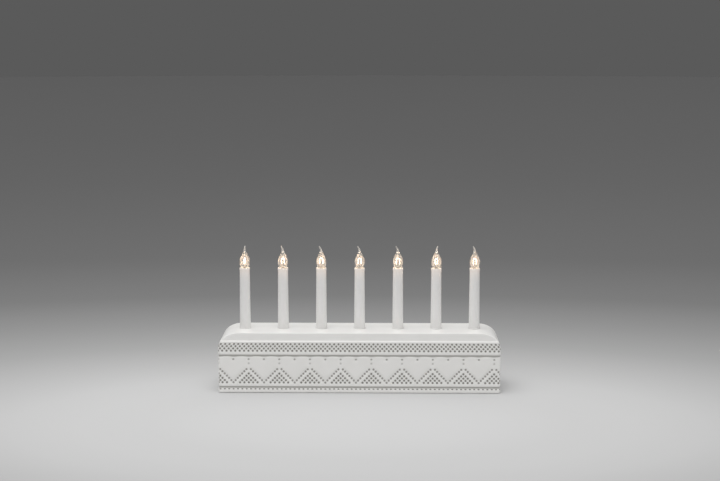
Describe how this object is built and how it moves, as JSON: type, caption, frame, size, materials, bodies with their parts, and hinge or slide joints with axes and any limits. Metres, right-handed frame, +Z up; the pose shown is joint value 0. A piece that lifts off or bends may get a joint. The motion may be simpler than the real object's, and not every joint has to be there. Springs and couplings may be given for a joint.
{
  "type": "electric candle bridge",
  "caption": "Long white ceramic candle bridge with a pressed lace relief, and a row of electric candles with small screw bulbs.",
  "frame": {"origin": "centre of the footprint, on the surface that the feet stand on", "axes": "+X along the row of candles, -Y to the front, +Z up"},
  "size_m": [0.402, 0.08, 0.2067],
  "materials": {
    "glazed_ceramic": "satin white glaze",
    "fibreboard": "smooth pressed board",
    "nylon": "moulded, matt",
    "zinc_steel": "zinc plated",
    "felt": "pressed wool felt",
    "white_rubber": "moulded, matt",
    "clear_nylon": "moulded, semi-matt",
    "brass": "bright stamped",
    "wire_sheath": "extruded vinyl",
    "fibre": "red vulcanised fibre",
    "socket_plastic": "moulded, matt",
    "foot_plastic": "moulded, satin",
    "sleeve_plastic": "moulded, satin, lets a little light through",
    "black_glass": "black glass insulator with a solder tip",
    "nickelled_brass": "nickel plated, thin rolled thread",
    "bulb_glass": "clear blown glass",
    "filament": "lit filament on nickel leads"
  },
  "bodies": {
    "bridge": {"ceramic_body": "glazed_ceramic", "base_cover": "fibreboard", "cover_anchors": "nylon", "cover_screws": "zinc_steel", "felt_feet": "felt", "cord_grommet": "white_rubber", "terminal_block": "clear_nylon", "terminal_inserts": "brass", "terminal_screws": "zinc_steel", "lead_left": "wire_sheath", "lead_right": "wire_sheath", "link_wires": "wire_sheath", "holder_washers": "fibre", "holder_nuts": "zinc_steel", "socket_bodies": "socket_plastic", "socket_shells": "brass", "socket_contacts": "brass", "candle_foot_1": "foot_plastic", "candle_foot_2": "foot_plastic", "candle_foot_3": "foot_plastic", "candle_foot_4": "foot_plastic", "candle_foot_5": "foot_plastic", "candle_foot_6": "foot_plastic", "candle_foot_7": "foot_plastic", "candle_sleeve_1": "sleeve_plastic", "candle_sleeve_2": "sleeve_plastic", "candle_sleeve_3": "sleeve_plastic", "candle_sleeve_4": "sleeve_plastic", "candle_sleeve_5": "sleeve_plastic", "candle_sleeve_6": "sleeve_plastic", "candle_sleeve_7": "sleeve_plastic"},
    "bulb_1_foot": {"bulb_contact_1": "black_glass"},
    "bulb_1": {"bulb_cap_1": "nickelled_brass", "bulb_glass_1": "bulb_glass", "filament_1": "filament"},
    "bulb_2_foot": {"bulb_contact_2": "black_glass"},
    "bulb_2": {"bulb_cap_2": "nickelled_brass", "bulb_glass_2": "bulb_glass", "filament_2": "filament"},
    "bulb_3_foot": {"bulb_contact_3": "black_glass"},
    "bulb_3": {"bulb_cap_3": "nickelled_brass", "bulb_glass_3": "bulb_glass", "filament_3": "filament"},
    "bulb_4_foot": {"bulb_contact_4": "black_glass"},
    "bulb_4": {"bulb_cap_4": "nickelled_brass", "bulb_glass_4": "bulb_glass", "filament_4": "filament"},
    "bulb_5_foot": {"bulb_contact_5": "black_glass"},
    "bulb_5": {"bulb_cap_5": "nickelled_brass", "bulb_glass_5": "bulb_glass", "filament_5": "filament"},
    "bulb_6_foot": {"bulb_contact_6": "black_glass"},
    "bulb_6": {"bulb_cap_6": "nickelled_brass", "bulb_glass_6": "bulb_glass", "filament_6": "filament"},
    "bulb_7_foot": {"bulb_contact_7": "black_glass"},
    "bulb_7": {"bulb_cap_7": "nickelled_brass", "bulb_glass_7": "bulb_glass", "filament_7": "filament"}
  },
  "joints": [
    {"name": "bulb_1_rise", "type": "slide", "parent": "bridge", "child": "bulb_1_foot", "axis": [0, 0, 1], "range_m": [0, 0.0073]},
    {"name": "bulb_1_turn", "type": "hinge", "parent": "bulb_1_foot", "child": "bulb_1", "pos_m": [-0.165, 0, 0.16], "axis": [0, 0, 1], "range_deg": [0, 1440]},
    {"name": "bulb_2_rise", "type": "slide", "parent": "bridge", "child": "bulb_2_foot", "axis": [0, 0, 1], "range_m": [0, 0.0073]},
    {"name": "bulb_2_turn", "type": "hinge", "parent": "bulb_2_foot", "child": "bulb_2", "pos_m": [-0.11, 0, 0.16], "axis": [0, 0, 1], "range_deg": [0, 1440]},
    {"name": "bulb_3_rise", "type": "slide", "parent": "bridge", "child": "bulb_3_foot", "axis": [0, 0, 1], "range_m": [0, 0.0073]},
    {"name": "bulb_3_turn", "type": "hinge", "parent": "bulb_3_foot", "child": "bulb_3", "pos_m": [-0.055, 0, 0.16], "axis": [0, 0, 1], "range_deg": [0, 1440]},
    {"name": "bulb_4_rise", "type": "slide", "parent": "bridge", "child": "bulb_4_foot", "axis": [0, 0, 1], "range_m": [0, 0.0073]},
    {"name": "bulb_4_turn", "type": "hinge", "parent": "bulb_4_foot", "child": "bulb_4", "pos_m": [0, 0, 0.16], "axis": [0, 0, 1], "range_deg": [0, 1440]},
    {"name": "bulb_5_rise", "type": "slide", "parent": "bridge", "child": "bulb_5_foot", "axis": [0, 0, 1], "range_m": [0, 0.0073]},
    {"name": "bulb_5_turn", "type": "hinge", "parent": "bulb_5_foot", "child": "bulb_5", "pos_m": [0.055, 0, 0.16], "axis": [0, 0, 1], "range_deg": [0, 1440]},
    {"name": "bulb_6_rise", "type": "slide", "parent": "bridge", "child": "bulb_6_foot", "axis": [0, 0, 1], "range_m": [0, 0.0073]},
    {"name": "bulb_6_turn", "type": "hinge", "parent": "bulb_6_foot", "child": "bulb_6", "pos_m": [0.11, 0, 0.16], "axis": [0, 0, 1], "range_deg": [0, 1440]},
    {"name": "bulb_7_rise", "type": "slide", "parent": "bridge", "child": "bulb_7_foot", "axis": [0, 0, 1], "range_m": [0, 0.0073]},
    {"name": "bulb_7_turn", "type": "hinge", "parent": "bulb_7_foot", "child": "bulb_7", "pos_m": [0.165, 0, 0.16], "axis": [0, 0, 1], "range_deg": [0, 1440]}
  ],
  "couplings": [
    {"joint": "bulb_1_rise", "follows": "bulb_1_turn", "m_per_rad": 0.00028871},
    {"joint": "bulb_2_rise", "follows": "bulb_2_turn", "m_per_rad": 0.00028871},
    {"joint": "bulb_3_rise", "follows": "bulb_3_turn", "m_per_rad": 0.00028871},
    {"joint": "bulb_4_rise", "follows": "bulb_4_turn", "m_per_rad": 0.00028871},
    {"joint": "bulb_5_rise", "follows": "bulb_5_turn", "m_per_rad": 0.00028871},
    {"joint": "bulb_6_rise", "follows": "bulb_6_turn", "m_per_rad": 0.00028871},
    {"joint": "bulb_7_rise", "follows": "bulb_7_turn", "m_per_rad": 0.00028871}
  ]
}
